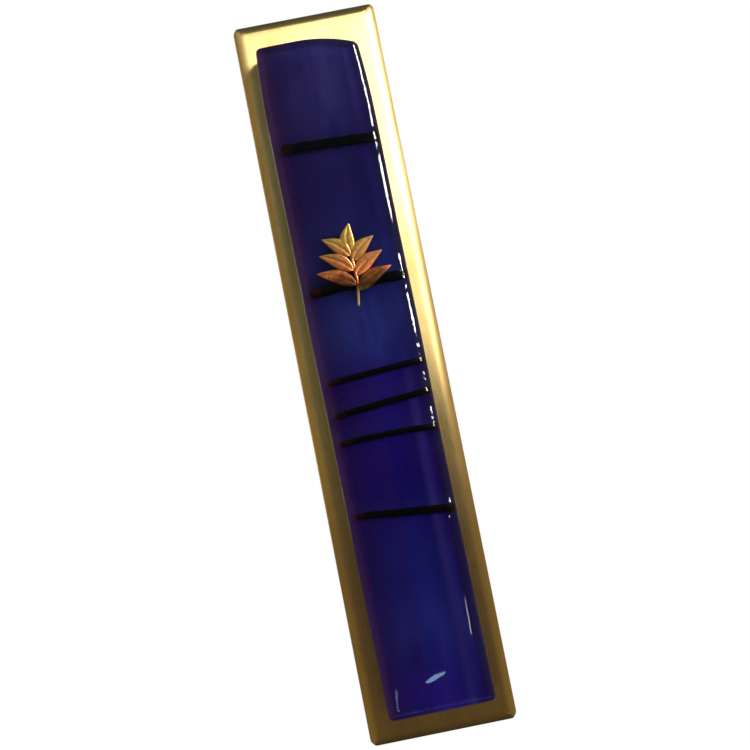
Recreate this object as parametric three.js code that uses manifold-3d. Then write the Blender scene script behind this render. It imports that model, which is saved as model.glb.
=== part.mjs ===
// Mezuzah case: a shallow folded brass case with a fused-glass bar bonded to its face.
// The case hangs on a joggled back plate that is screwed to the doorpost, and a rolled
// parchment is clipped inside it. Millimetres, +Z up the doorpost, front towards -Y,
// origin on the wall at the middle of the back plate.
import * as THREE from "three";
import { mergeVertices } from "three/addons/utils/BufferGeometryUtils.js";
import Module from "manifold-3d";

const wasm = await Module();
wasm.setup();

// ---- Driving dimensions. A depth is measured from the wall towards the front. ----
const CASE = { width: 27, length: 135, face: 13, rim: 0.3 };
const SHEET = 0.8; // brass sheet of the case
const BEND = 2.0; // outer radius of the case's folded edges
const CORNER_CUT = 1.2; // clipped corners where two folded sides meet
const CORNER_SLIT = { width: 0.35, reach: 4, out: 0.4 }; // open seam between two folded sides
const LIP = { reach: 2.3, thick: 0.7, endGap: 3.2 }; // return lips that hook behind the plate
const FIT = 0.3; // running gap between the case and the back plate

const PLATE = { thick: 1.0, webHalf: 8.8, edgeHalf: 12.3, edgeRear: 1.3, slope: 1.0 };
const PLATE_END = { bottom: 1.0, corner: 2.0 };
const SCREW = { z: 50, headR: 2.5, headTop: 1.05, headEdge: 0.1, length: 11.5 };
const THREAD = { shankR: 1.15, r: 1.4, start: 1.2, pitch: 1.0, ridge: 0.3, taper: 2.2, point: 1.4 };
const SCREW_HOLE = { r: 1.65, flare: 1.1 };
const SCREW_SLOT = { width: 0.7, depth: 0.55 };

const SCROLL = { r: 4.0, coreR: 2.0, turns: 5.3, thick: 0.2, length: 100, depth: 6.9 };
const SLEEVE = { innerR: 4.1, outerR: 4.3, length: 104 };
const CLIP = { z: 30, length: 8, thick: 0.35, r: 4.55, joinDeg: 50, gripDeg: 126, stepDeg: 9.5 };
const CLIP_FLARE = { out: 0.455, back: 1.17 }; // the lead-in at the end of each arm
const RIVET = { r: 1.0, innerHeadR: 1.5, innerHead: 0.5, outerHeadR: 1.7, outerHead: 0.3 };
const RIVET_CROWN = { innerR: 0.7, innerEdge: 0.3, outerR: 0.8, outerEdge: 0.6 }; // shares of a head
const RIVET_HOLE_R = 1.1;
const TOUCH = 0.03; // gap left between pieces that touch

const BED = { thick: 0.5, inset: 1.1, rivetHoleR: 2.0 };
const GLASS = { width: 19.5, length: 122.8, baseThick: 2.8, capThick: 3.3, corner: 1.6 };
const GLASS_EDGE = { foot: 0.6, shoulder: 3.2 }; // rounding under and over the bar
const GLASS_SKEW_DEG = 0.35; // the bar is bonded slightly out of square
const GLASS_SHIFT = { x: -0.1, z: -0.25 }; // and a little off centre
const GROOVE_GAP = 0.12; // space around each stringer in the cap
const PAST = 1; // how far a cutting solid runs past the faces it cuts
const ALL = 200; // wider and longer than any piece

// Black stringers fused between the two glasses, from the top of the bar down: height of
// the middle, rise to the right in degrees, upward bow, and the flattened thread's size.
const STRINGERS = [
  { z: 41.2, tiltDeg: -2.85, bow: 0.1, width: 1.9, height: 1.1 },
  { z: 15.05, tiltDeg: 1.15, bow: 0.15, width: 1.95, height: 1.1 },
  { z: -1.1, tiltDeg: 3.25, bow: 0.15, width: 1.1, height: 0.75 },
  { z: -6.9, tiltDeg: 5.05, bow: 0.15, width: 1.2, height: 0.8 },
  { z: -12.65, tiltDeg: -0.15, bow: 0.4, width: 1.05, height: 0.75 },
  { z: -26.4, tiltDeg: -5.95, bow: 0, width: 1.5, height: 0.95 },
];
const STRINGER_ENDS = { left: 1.3, right: 0.45 }; // how far each end stops inside the bar

const EMBLEM = { z: 18.3, height: 14.7, thick: 0.12, stem: 0.6, leafPairs: 3 };
const STALK = { top: 0.72, bend: 0.3, swing: 0.9, foot: 0.35 }; // heights are shares of the sprig
const LEAF = { long: 7.4, wide: 2.9, shorter: 0.75, deg: 26, steeper: 7 };
const LEAF_PLACE = { first: 0.2, step: 0.18, offset: 0.07, tip: 0.66, tipLong: 0.36, tipDeg: 82 };

// ---- Depths that follow from the driving dimensions ----
const bedRear = CASE.face + TOUCH;
const glassRear = CASE.face + BED.thick;
const seam = glassRear + GLASS.baseThick;
const glassFront = seam + GLASS.capThick;
const innerFace = CASE.face - SHEET;
const halfInnerWidth = CASE.width / 2 - SHEET;
const halfInnerLength = CASE.length / 2 - SHEET;
const lipFront = CASE.rim + LIP.thick;
const plateFront = PLATE.edgeRear + PLATE.thick;
const screwPlaces = [SCREW.z, -SCREW.z];
const clipPlaces = [CLIP.z, -CLIP.z];

const materials = {
  satinBrass: new THREE.MeshStandardMaterial({ color: 0xb08d4c, roughness: 0.34, metalness: 1 }),
  plateBrass: new THREE.MeshStandardMaterial({ color: 0xa88a55, roughness: 0.42, metalness: 1 }),
  springBrass: new THREE.MeshStandardMaterial({ color: 0xc09a52, roughness: 0.28, metalness: 1 }),
  screwBrass: new THREE.MeshStandardMaterial({ color: 0xc8a45a, roughness: 0.25, metalness: 1 }),
  cobaltGlass: new THREE.MeshStandardMaterial({ color: 0x15105a, roughness: 0.06, metalness: 0 }),
  clearGlass: new THREE.MeshStandardMaterial({ color: 0x3a3f8a, roughness: 0.04, metalness: 0 }),
  blackGlass: new THREE.MeshStandardMaterial({ color: 0x050407, roughness: 0.08, metalness: 0 }),
  goldLustre: new THREE.MeshStandardMaterial({ color: 0xc58a4a, roughness: 0.22, metalness: 1 }),
  silicone: new THREE.MeshStandardMaterial({ color: 0xcfd2d0, roughness: 0.4, metalness: 0 }),
  parchment: new THREE.MeshStandardMaterial({ color: 0xe2d3ae, roughness: 0.7, metalness: 0 }),
  clearFilm: new THREE.MeshStandardMaterial({ color: 0xe8eef0, roughness: 0.15, metalness: 0 }),
};

// ---- Solids: three.js geometries joined and cut with manifold-3d ----
function solid(geometry) {
  const g = geometry.clone();
  g.deleteAttribute("normal");
  g.deleteAttribute("uv");
  const merged = mergeVertices(g, 1e-4);
  return new wasm.Manifold(
    new wasm.Mesh({
      numProp: 3,
      vertProperties: new Float32Array(merged.attributes.position.array),
      triVerts: new Uint32Array(merged.index.array),
    }),
  );
}

function geometryOf(manifold) {
  const mesh = manifold.getMesh();
  const g = new THREE.BufferGeometry();
  g.setAttribute("position", new THREE.BufferAttribute(mesh.vertProperties, 3));
  g.setIndex(new THREE.BufferAttribute(mesh.triVerts, 1));
  g.computeVertexNormals();
  return g;
}

// A plan outline (x, z) made solid between two depths.
function plan(shape, rear, front, steps = 8) {
  const g = new THREE.ExtrudeGeometry(shape, {
    depth: front - rear,
    bevelEnabled: false,
    curveSegments: steps,
  });
  return g.rotateX(Math.PI / 2).translate(0, -rear, 0);
}

// The same, with its front and rear edges rounded inwards by a quarter ellipse.
function pillow(shape, rear, front, deep, wide, steps) {
  const g = new THREE.ExtrudeGeometry(shape, {
    depth: front - rear - 2 * deep,
    bevelThickness: deep,
    bevelSize: wide,
    bevelOffset: -wide,
    bevelSegments: steps,
    curveSegments: steps,
  });
  return g.rotateX(Math.PI / 2).translate(0, -rear - deep, 0);
}

// A cross-section (x, depth) made solid between two heights.
function section(shape, bottom, top, steps = 8) {
  const g = new THREE.ExtrudeGeometry(shape, {
    depth: top - bottom,
    bevelEnabled: false,
    curveSegments: steps,
  });
  return g.translate(0, 0, bottom);
}

function block(x0, x1, rear, front, z0, z1) {
  const g = new THREE.BoxGeometry(x1 - x0, front - rear, z1 - z0);
  return g.translate((x0 + x1) / 2, -(rear + front) / 2, (z0 + z1) / 2);
}

function disc(r, rear, front, z, steps = 24) {
  const g = new THREE.CylinderGeometry(r, r, front - rear, steps);
  return g.translate(0, -(rear + front) / 2, z);
}

// A turned piece whose axis runs front to back: its profile is (radius, depth) from the rear on.
function turned(profile, z, steps = 24) {
  const points = profile.map(([r, depth]) => new THREE.Vector2(r, -depth)).reverse();
  return new THREE.LatheGeometry(points, steps).translate(0, 0, z);
}

// A rectangle with clipped corners, or with sharp ones when nothing is cut off.
function rectangle(width, length, cut = 0) {
  const [x, z] = [width / 2, length / 2];
  if (cut === 0) {
    const corners = [[-x, -z], [x, -z], [x, z], [-x, z]];
    return new THREE.Shape(corners.map(([cx, cz]) => new THREE.Vector2(cx, cz)));
  }
  const s = new THREE.Shape();
  s.moveTo(-x + cut, -z);
  s.lineTo(x - cut, -z);
  s.lineTo(x, -z + cut);
  s.lineTo(x, z - cut);
  s.lineTo(x - cut, z);
  s.lineTo(-x + cut, z);
  s.lineTo(-x, z - cut);
  s.lineTo(-x, -z + cut);
  s.closePath();
  return s;
}

function roundedRectangle(width, length, r) {
  const [x, z] = [width / 2, length / 2];
  const s = new THREE.Shape();
  s.absarc(x - r, z - r, r, 0, Math.PI / 2);
  s.absarc(-x + r, z - r, r, Math.PI / 2, Math.PI);
  s.absarc(-x + r, -z + r, r, Math.PI, 1.5 * Math.PI);
  s.absarc(x - r, -z + r, r, 1.5 * Math.PI, 2 * Math.PI);
  s.closePath();
  return s;
}

const group = new THREE.Group();

function add(name, shape, material, parent = group) {
  const geometry = shape.isBufferGeometry ? shape : geometryOf(shape);
  const mesh = new THREE.Mesh(geometry, material);
  mesh.name = name;
  parent.add(mesh);
  return mesh;
}

// ---- Back plate: a strip with joggled edges that stand off the wall ----
function backPlate() {
  const { webHalf, edgeHalf, edgeRear, slope, thick } = PLATE;
  const rise = edgeRear / slope; // sideways run of the joggle
  const mitre = thick / 2; // keeps the sloped part about as thick as the rest
  const half = [
    [webHalf, 0],
    [webHalf + rise, edgeRear],
    [edgeHalf, edgeRear],
    [edgeHalf, plateFront],
    [webHalf + rise - mitre, plateFront],
    [webHalf - mitre, thick],
  ];
  const s = new THREE.Shape();
  half.forEach(([x, d], i) => (i ? s.lineTo(x, -d) : s.moveTo(x, -d)));
  half.reverse().forEach(([x, d]) => s.lineTo(-x, -d));
  s.closePath();
  const top = halfInnerLength - TOUCH; // the case hangs here
  const bottom = -halfInnerLength + PLATE_END.bottom;
  const outline = rectangle(2 * edgeHalf, top - bottom, PLATE_END.corner);
  let plate = solid(section(s, bottom, top)).intersect(
    solid(plan(outline, -PAST, CASE.face).translate(0, 0, (top + bottom) / 2)),
  );
  for (const z of screwPlaces) {
    const { r, flare } = SCREW_HOLE;
    const hole = [
      [0, -PAST],
      [r, -PAST],
      [r, 0],
      [r + flare * thick, thick],
      [r + flare * thick, CASE.face],
      [0, CASE.face],
    ];
    plate = plate.subtract(solid(turned(hole, z)));
  }
  return plate;
}

// A slotted countersunk wood screw with a ringed thread, drawn from its head to its tip.
function woodScrew(z) {
  const { headR, headTop, headEdge, length } = SCREW;
  const { shankR, r, start, pitch, ridge, taper, point } = THREAD;
  const tip = headTop - length;
  const profile = [
    [0, headTop],
    [headR, headTop],
    [headR, headTop - headEdge],
    [r, headTop - headEdge - (headR - r)],
  ];
  for (let depth = -start; depth > tip + taper; depth -= pitch) {
    profile.push([shankR, depth + ridge * pitch], [r, depth], [shankR, depth - ridge * pitch]);
  }
  profile.push([0.8 * shankR, tip + point], [0, tip]);
  const slotHalf = SCREW_SLOT.width / 2;
  const slotRear = headTop - SCREW_SLOT.depth;
  const slotReach = headR + PAST;
  const slot = block(-slotReach, slotReach, slotRear, headTop + PAST, z - slotHalf, z + slotHalf);
  return solid(turned(profile.reverse(), z, 20)).subtract(solid(slot));
}

// ---- Case: one sheet folded back on four sides, open corners, two long return lips ----
function caseShell() {
  const long = 2 * CASE.face; // deep enough to cut clean through
  const outline = rectangle(CASE.width, CASE.length, CORNER_CUT);
  const hollow = rectangle(2 * halfInnerWidth, 2 * halfInnerLength);
  const front = solid(block(-ALL, ALL, CASE.rim, CASE.face + PAST, -ALL, ALL));
  const outer = solid(pillow(outline, -long, CASE.face, BEND, BEND, 5)).intersect(front);
  const inner = pillow(hollow, -long, innerFace, BEND - SHEET, BEND - SHEET, 3);
  let shell = outer.subtract(solid(inner));
  for (const side of [-1, 1]) shell = shell.add(solid(returnLip(side)));
  for (const sx of [-1, 1]) {
    for (const sz of [-1, 1]) shell = shell.subtract(solid(cornerSeam(sx, sz)));
  }
  for (const z of clipPlaces) {
    shell = shell.subtract(solid(disc(RIVET_HOLE_R, innerFace - PAST, CASE.face + PAST, z)));
  }
  return shell.subtract(solid(bottomPass()));
}

// The inward lip at the back of a long side, which hooks behind the plate's edge.
function returnLip(side) {
  const [a, b] = [side * (halfInnerWidth + SHEET / 2), side * (halfInnerWidth - LIP.reach)];
  const end = halfInnerLength - LIP.endGap;
  return block(Math.min(a, b), Math.max(a, b), CASE.rim, lipFront, -end, end);
}

// The diagonal slit that leaves two neighbouring sides unjoined behind the corner's bend.
function cornerSeam(sx, sz) {
  const { width, reach, out } = CORNER_SLIT;
  return new THREE.BoxGeometry(reach, CASE.face - BEND + 2 * PAST, width)
    .translate(0, -(CASE.face - BEND - 2 * PAST) / 2, 0)
    .rotateY((-sx * sz * Math.PI) / 4)
    .translate(sx * (halfInnerWidth + out), 0, sz * (halfInnerLength + out));
}

// The bottom side is cut short, so that the back plate passes under it.
function bottomPass() {
  const front = plateFront + 2 * FIT;
  return block(-halfInnerWidth, halfInnerWidth, -PAST, front, -CASE.length, PAST - halfInnerLength);
}

// ---- Scroll clips and their rivets ----
// The middle line of the spring strip from the base out to one flared end, as (x, depth).
function clipArm() {
  const rad = THREE.MathUtils.degToRad;
  const base = innerFace - TOUCH - CLIP.thick / 2;
  const on = (deg) => [
    CLIP.r * Math.sin(rad(deg)),
    SCROLL.depth + CLIP.r * Math.cos(rad(deg)),
  ];
  const [x, depth] = on(CLIP.joinDeg);
  const run = (base - depth) / Math.tan(rad(CLIP.joinDeg));
  const arm = [[x - run, base]];
  for (let deg = CLIP.joinDeg; deg <= CLIP.gripDeg; deg += CLIP.stepDeg) arm.push(on(deg));
  const [endX, endDepth] = arm.at(-1);
  arm.push([endX + CLIP_FLARE.out, endDepth - CLIP_FLARE.back]);
  return arm;
}

// A strip of even thickness along a middle line.
function strip(line, thick) {
  const points = line.map(([x, d]) => new THREE.Vector2(x, -d));
  const sides = [1, -1].map((side) =>
    points.map((p, i) => {
      const before = points[Math.max(i - 1, 0)];
      const after = points[Math.min(i + 1, points.length - 1)];
      const along = after.clone().sub(before).normalize();
      return new THREE.Vector2(-along.y, along.x).multiplyScalar((side * thick) / 2).add(p);
    }),
  );
  return new THREE.Shape([...sides[0], ...sides[1].reverse()]);
}

function scrollClip(z) {
  const arm = clipArm();
  const other = arm.map(([x, d]) => [-x, d]).reverse();
  const halfLength = CLIP.length / 2;
  const spring = section(strip([...other, ...arm], CLIP.thick), z - halfLength, z + halfLength);
  const hole = disc(RIVET_HOLE_R, innerFace - CLIP.thick - PAST, innerFace + PAST, z);
  return solid(spring).subtract(solid(hole));
}

function clipRivet(z) {
  const inner = innerFace - 2 * TOUCH - CLIP.thick;
  const outer = CASE.face + TOUCH;
  const { r, innerHeadR, innerHead, outerHeadR, outerHead } = RIVET;
  const { innerR, innerEdge, outerR, outerEdge } = RIVET_CROWN;
  return turned(
    [
      [0, inner - innerHead],
      [innerR * innerHeadR, inner - innerHead],
      [innerHeadR, inner - innerEdge * innerHead],
      [innerHeadR, inner],
      [r, inner],
      [r, outer],
      [outerHeadR, outer],
      [outerHeadR, outer + outerEdge * outerHead],
      [outerR * outerHeadR, outer + outerHead],
      [0, outer + outerHead],
    ],
    z,
  );
}

// ---- Parchment, rolled into a spiral, in a clear film sleeve ----
function rolledParchment() {
  const steps = Math.round(24 * SCROLL.turns);
  const pitch = (SCROLL.r - SCROLL.thick / 2 - SCROLL.coreR) / SCROLL.turns;
  const at = (turn, off) => {
    const r = SCROLL.coreR + pitch * turn + off;
    const a = 2 * Math.PI * turn;
    return new THREE.Vector2(r * Math.cos(a), r * Math.sin(a) - SCROLL.depth);
  };
  const turns = Array.from({ length: steps + 1 }, (_, i) => (SCROLL.turns * i) / steps);
  const outside = turns.map((t) => at(t, SCROLL.thick / 2));
  const inside = turns.map((t) => at(t, -SCROLL.thick / 2)).reverse();
  const roll = new THREE.Shape([...outside, ...inside]);
  return section(roll, -SCROLL.length / 2, SCROLL.length / 2);
}

function sleeve() {
  const ring = new THREE.Shape().absarc(0, -SCROLL.depth, SLEEVE.outerR, 0, 2 * Math.PI);
  ring.holes.push(new THREE.Path().absarc(0, -SCROLL.depth, SLEEVE.innerR, 0, 2 * Math.PI, true));
  return section(ring, -SLEEVE.length / 2, SLEEVE.length / 2, 20);
}

// ---- Glass bar: cobalt base, clear cap, and black stringers in the seam between them ----
function adhesiveBed() {
  const outline = roundedRectangle(
    GLASS.width - 2 * BED.inset,
    GLASS.length - 2 * BED.inset,
    GLASS.corner,
  );
  let bed = solid(plan(outline, bedRear, glassRear - TOUCH));
  for (const z of clipPlaces) {
    bed = bed.subtract(solid(disc(BED.rivetHoleR, CASE.face - PAST, glassRear + PAST, z)));
  }
  return bed;
}

const glassOutline = roundedRectangle(GLASS.width, GLASS.length, GLASS.corner + GLASS_EDGE.foot);
const behindSeam = solid(block(-ALL, ALL, 0, seam, -ALL, ALL));

function glassBase() {
  const { foot } = GLASS_EDGE;
  return solid(pillow(glassOutline, glassRear, glassFront, foot, foot, 4)).intersect(behindSeam);
}

// A flattened thread along the seam, grown by a margin when it is used to cut its groove.
function stringer({ z, tiltDeg, bow, width, height }, margin = 0) {
  const rise = Math.tan(THREE.MathUtils.degToRad(tiltDeg));
  const x0 = -GLASS.width / 2 + STRINGER_ENDS.left - margin;
  const x1 = GLASS.width / 2 - STRINGER_ENDS.right + margin;
  const depth = seam + (margin ? 0 : 2 * TOUCH);
  const steps = 6;
  const route = Array.from({ length: steps + 1 }, (_, i) => {
    const x = x0 + ((x1 - x0) * i) / steps;
    const across = (2 * x) / GLASS.width;
    return new THREE.Vector3(x, -depth, z + rise * x + bow * (1 - across * across));
  });
  // The section's x points to the front, so this is a half ellipse with its crown in front.
  const crown = new THREE.Shape();
  crown.absellipse(0, 0, height + margin, width / 2 + margin, -Math.PI / 2, Math.PI / 2);
  crown.closePath();
  return new THREE.ExtrudeGeometry(crown, {
    extrudePath: new THREE.CatmullRomCurve3(route),
    steps,
    curveSegments: 8,
    bevelEnabled: false,
  });
}

// An upright arch: a flat rear, and quarter-ellipse shoulders up to a flat front.
function arch(width, rear, front, shoulder) {
  const x = width / 2;
  const s = new THREE.Shape();
  s.moveTo(-x, -rear);
  s.absellipse(-x + shoulder, -rear, shoulder, front - rear, Math.PI, 1.5 * Math.PI);
  s.absellipse(x - shoulder, -rear, shoulder, front - rear, 1.5 * Math.PI, 2 * Math.PI);
  s.closePath();
  return s;
}

function glassCap() {
  const rear = seam + TOUCH;
  const [w, l] = [GLASS.width, GLASS.length];
  const across = section(arch(w, rear, glassFront, GLASS_EDGE.shoulder), -l, l, 7);
  const along = section(arch(l, rear, glassFront, GLASS_EDGE.shoulder), -w, w, 7);
  let cap = solid(across).intersect(solid(along.rotateY(Math.PI / 2)));
  cap = cap.intersect(solid(plan(glassOutline, 0, glassFront + PAST, 4)));
  for (const thread of STRINGERS) cap = cap.subtract(solid(stringer(thread, GROOVE_GAP)));
  return cap;
}

// ---- Emblem: a leafy sprig in gold lustre on the flat of the cap ----
function leaf(length, width) {
  const s = new THREE.Shape();
  s.moveTo(0, 0);
  s.bezierCurveTo(0.25 * length, 0.75 * width, 0.7 * length, 0.55 * width, length, 0);
  s.bezierCurveTo(0.7 * length, -0.25 * width, 0.3 * length, -0.45 * width, 0, 0);
  return s;
}

function stalkShape(foot) {
  const { height, stem } = EMBLEM;
  const bendZ = foot + STALK.bend * height;
  const topZ = foot + STALK.top * height;
  const s = new THREE.Shape();
  s.moveTo(-0.1, foot);
  s.quadraticCurveTo(STALK.swing, bendZ, stem, topZ);
  s.lineTo(-stem / 2, topZ);
  s.quadraticCurveTo(0.1, bendZ, -STALK.foot, foot);
  s.closePath();
  return s;
}

function sprig() {
  const { height, leafPairs, thick } = EMBLEM;
  const { first, step, offset, tip, tipLong, tipDeg } = LEAF_PLACE;
  const rear = glassFront + TOUCH;
  const foot = -height / 2;
  const place = (length, x, z, deg, mirrored = false) => {
    const g = plan(leaf(length, LEAF.wide), rear, rear + thick, 9);
    g.rotateY(THREE.MathUtils.degToRad(-deg));
    if (mirrored) g.rotateZ(Math.PI).translate(0, -2 * rear - thick, 0);
    return solid(g.translate(x, 0, z));
  };
  let emblem = solid(plan(stalkShape(foot), rear, rear + thick));
  for (let i = 0; i < leafPairs; i++) {
    const z = foot + height * (first + step * i);
    const long = LEAF.long - LEAF.shorter * i;
    const deg = LEAF.deg + LEAF.steeper * i;
    emblem = emblem.add(place(long, 0.2, z, deg));
    emblem = emblem.add(place(long, 0.3, z + offset * height, deg, true));
  }
  return emblem.add(place(tipLong * height, 0.1, foot + tip * height, tipDeg));
}

// ---- Assembly ----
add("back_plate", backPlate(), materials.plateBrass);
add("screw_upper", woodScrew(SCREW.z), materials.screwBrass);
add("screw_lower", woodScrew(-SCREW.z), materials.screwBrass);
add("case_shell", caseShell(), materials.satinBrass);
add("clip_upper", scrollClip(CLIP.z), materials.springBrass);
add("clip_lower", scrollClip(-CLIP.z), materials.springBrass);
add("clip_rivet_upper", clipRivet(CLIP.z), materials.springBrass);
add("clip_rivet_lower", clipRivet(-CLIP.z), materials.springBrass);
add("parchment_scroll", rolledParchment(), materials.parchment);
add("scroll_sleeve", sleeve(), materials.clearFilm);
add("adhesive_bed", adhesiveBed(), materials.silicone);

const bar = new THREE.Group();
bar.rotation.y = THREE.MathUtils.degToRad(-GLASS_SKEW_DEG);
bar.position.set(GLASS_SHIFT.x, 0, GLASS_SHIFT.z);
group.add(bar);
add("glass_base", glassBase(), materials.cobaltGlass, bar);
add("glass_cap", glassCap(), materials.clearGlass, bar);
STRINGERS.forEach((thread, i) => {
  add(`stringer_${i + 1}`, stringer(thread), materials.blackGlass, bar);
});
add("emblem", sprig().translate([0, 0, EMBLEM.z]), materials.goldLustre, bar);

export default group;
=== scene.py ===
"""A mezuzah case: a folded brass case, a fused cobalt glass bar with black threads and a gold
sprig on its face, a back plate with its screws, and a rolled parchment clipped inside.

Shapes are worked out in millimetres as (x, depth, z), where depth is measured from the wall
towards the front, and they become metres in the part's frame when a mesh is made.
"""

import math
from contextlib import contextmanager

import bmesh
import bpy
from mathutils import Matrix, Quaternion, Vector, noise


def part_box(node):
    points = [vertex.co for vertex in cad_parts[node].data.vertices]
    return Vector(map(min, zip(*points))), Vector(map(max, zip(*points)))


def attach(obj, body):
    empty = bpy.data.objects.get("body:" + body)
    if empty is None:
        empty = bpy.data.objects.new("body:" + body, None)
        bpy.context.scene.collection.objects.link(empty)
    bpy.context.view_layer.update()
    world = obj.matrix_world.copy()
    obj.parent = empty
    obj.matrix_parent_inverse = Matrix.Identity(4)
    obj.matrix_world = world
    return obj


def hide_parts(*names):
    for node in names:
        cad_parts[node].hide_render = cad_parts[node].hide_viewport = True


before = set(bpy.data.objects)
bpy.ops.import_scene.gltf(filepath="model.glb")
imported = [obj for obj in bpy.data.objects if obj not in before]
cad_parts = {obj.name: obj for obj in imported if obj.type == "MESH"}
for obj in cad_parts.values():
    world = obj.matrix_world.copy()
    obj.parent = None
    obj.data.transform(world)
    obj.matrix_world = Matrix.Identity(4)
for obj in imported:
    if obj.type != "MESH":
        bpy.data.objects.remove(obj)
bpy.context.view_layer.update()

MM = 0.001


# ---------------- nodes
class Graph:
    """A node tree and short ways to add nodes to it."""

    def __init__(self, tree):
        self.nodes = tree.nodes
        self.links = tree.links

    def new(self, kind):
        return self.nodes.new("ShaderNode" + kind)

    def join(self, source, target):
        self.links.new(source, target)

    def feed(self, socket, value):
        """Sets a socket to a number or a colour, or joins another node's output to it."""
        if isinstance(value, (int, float)):
            socket.default_value = value
        elif isinstance(value, tuple):
            socket.default_value = (*value, 1)
        else:
            self.join(value, socket)

    def part(self, vector, letter):
        split = self.new("SeparateXYZ")
        self.join(vector, split.inputs[0])
        return split.outputs[letter]

    def span(self, value, low, high, to_low=0.0, to_high=1.0):
        """Carries the range from low to high over to another one, and stops at its ends."""
        node = self.new("MapRange")
        ends = {"From Min": low, "From Max": high, "To Min": to_low, "To Max": to_high}
        for name, number in ends.items():
            node.inputs[name].default_value = number
        self.join(value, node.inputs["Value"])
        return node.outputs["Result"]

    def math(self, operation, a, b=0.0):
        node = self.new("Math")
        node.operation = operation
        self.feed(node.inputs[0], a)
        self.feed(node.inputs[1], b)
        return node.outputs[0]

    def ramp(self, value, stops, smooth=False):
        node = self.new("ValToRGB")
        if smooth:
            node.color_ramp.interpolation = "EASE"
        while len(node.color_ramp.elements) < len(stops):
            node.color_ramp.elements.new(0.5)
        for element, (position, colour) in zip(node.color_ramp.elements, stops):
            element.position = position
            element.color = (*colour, 1)
        self.join(value, node.inputs["Fac"])
        return node.outputs["Color"]

    def mix(self, factor, a, b, blend="MIX"):
        node = self.new("Mix")
        node.data_type = "RGBA"
        node.blend_type = blend
        for socket, value in zip((node.inputs[0], node.inputs[6], node.inputs[7]), (factor, a, b)):
            self.feed(socket, value)
        return node.outputs[2]


# ---------------- camera, lights, surroundings
# The camera is close to the face, a little below its middle, and rolled against the case.
CAMERA = {"azimuth": -0.892, "elevation": -3.203, "roll": -11.234, "distance": 0.19326}
CAMERA_TARGET = (0.000208, -0.012, -0.001487)
SENSOR_MM, LENS_MM = 36, 50.4
FACE_CENTRE = (0, -0.019, 0)
LAMP_DISTANCE = 0.40
WHITE_LAMP = (1.0, 0.985, 0.95)
FLOOR_RADIUS, FLOOR_DROP = 1.1, 0.5
FLOOR_LAMP, FLOOR_LAMP_HEIGHT, FLOOR_LAMP_WIDE = 1.6, 0.9, 1.6
CARD_GAP, CARD_BEHIND_FACE = 0.45 * MM, 0.5 * MM
CARD_REACH, CARD_TOP = 0.25, 0.35

# The room's glow, from straight down (0) to straight up (1): in front and at the sides.
ROOM_FRONT = [
    (0.0, (0.10, 0.085, 0.065)),
    (0.39, (0.125, 0.100, 0.073)),
    (0.44, (0.13, 0.11, 0.09)),
    (0.48, (0.17, 0.14, 0.12)),
    (0.53, (0.21, 0.27, 0.22)),
    (0.625, (0.24, 0.32, 0.32)),
    (1.0, (0.16, 0.17, 0.17)),
]
ROOM_SIDES = [
    (0.0, (0.26, 0.21, 0.11)),
    (0.38, (0.22, 0.17, 0.08)),
    (0.44, (0.17, 0.12, 0.055)),
    (0.50, (0.28, 0.21, 0.10)),
]
# What is left of the glow where the onlooker stands, and what is added behind the case.
ONLOOKER_SHADE = 0.25
BEHIND_LIFT = 0.45


def place_camera():
    az, el, roll = (math.radians(CAMERA[k]) for k in ("azimuth", "elevation", "roll"))
    forward = Vector((-math.sin(az) * math.cos(el), math.cos(az) * math.cos(el), -math.sin(el)))
    right = forward.cross(Vector((0, 0, 1))).normalized()
    up = right.cross(forward)
    rolled_right = right * math.cos(roll) + up * math.sin(roll)
    rolled_up = up * math.cos(roll) - right * math.sin(roll)
    camera = bpy.data.objects.new("camera", bpy.data.cameras.new("camera"))
    matrix = Matrix((rolled_right, rolled_up, -forward)).transposed().to_4x4()
    matrix.translation = Vector(CAMERA_TARGET) - forward * CAMERA["distance"]
    camera.matrix_world = matrix
    camera.data.sensor_width = SENSOR_MM
    camera.data.lens = LENS_MM
    camera.data.clip_start = 0.01
    bpy.context.collection.objects.link(camera)
    bpy.context.scene.camera = camera


def lamp(name, place, away, size, radiance, colour, shape="RECTANGLE", twist=0.0, only=None):
    """An area lamp that lights everything, or only one collection, and isn't seen itself."""
    data = bpy.data.lights.new(name, "AREA")
    data.shape = shape
    data.size, data.size_y = size
    area = size[0] * size[1] * (math.pi / 4 if shape == "ELLIPSE" else 1.0)
    data.energy = radiance * math.pi * area
    data.color = colour
    light = bpy.data.objects.new(name, data)
    light.location = place
    turn = Quaternion(away, math.radians(twist))
    light.rotation_euler = (turn @ away.to_track_quat("Z", "Y")).to_euler()
    light.visible_camera = False
    if only is not None:
        light.light_linking.receiver_collection = only
    bpy.context.collection.objects.link(light)
    return light


def soft_light(name, azimuth, elevation, distance, size, radiance, colour, only=None):
    """A lamp seen from the glass at an azimuth (0 in front, + to the right) and elevation."""
    az, el = math.radians(azimuth), math.radians(elevation)
    away = Vector((math.sin(az) * math.cos(el), -math.cos(az) * math.cos(el), math.sin(el)))
    place = Vector(FACE_CENTRE) + away * distance
    return lamp(name, place, away, size, radiance, colour, only=only)


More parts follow.
